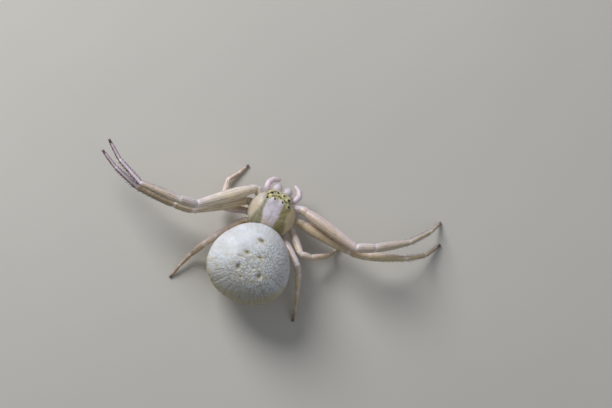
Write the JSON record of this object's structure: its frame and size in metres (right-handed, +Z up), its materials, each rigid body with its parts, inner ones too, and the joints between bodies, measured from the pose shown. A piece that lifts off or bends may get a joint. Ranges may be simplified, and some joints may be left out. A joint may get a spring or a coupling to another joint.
{
  "type": "crab spider model",
  "caption": "Life-size still model of a white female flower crab spider in an ambush pose, front legs held out to the sides.",
  "frame": {"origin": "on the floor, at the middle of the outline of the whole model seen from above", "axes": "+Z up, -Y the way the spider faces, +X towards its left legs"},
  "size_m": [0.0246, 0.012, 0.005],
  "materials": {
    "abdomen": "satin white skin with fine wrinkles",
    "carapace": "translucent cream shell",
    "limb": "translucent cream skin",
    "eye": "glossy black"
  },
  "bodies": {
    "root": {"cephalothorax": "carapace", "abdomen": "abdomen", "pedicel": "carapace", "spinnerets": "limb", "leg_1_left": "limb", "leg_2_left": "limb", "leg_3_left": "limb", "leg_4_left": "limb", "leg_1_right": "limb", "leg_2_right": "limb", "leg_3_right": "limb", "leg_4_right": "limb", "palp_left": "limb", "palp_right": "limb", "chelicera_left": "limb", "chelicera_right": "limb", "eye_front_middle_left": "eye", "eye_front_middle_right": "eye", "eye_front_outer_left": "eye", "eye_front_outer_right": "eye", "eye_rear_middle_left": "eye", "eye_rear_middle_right": "eye", "eye_rear_outer_left": "eye", "eye_rear_outer_right": "eye"}
  },
  "joints": []
}
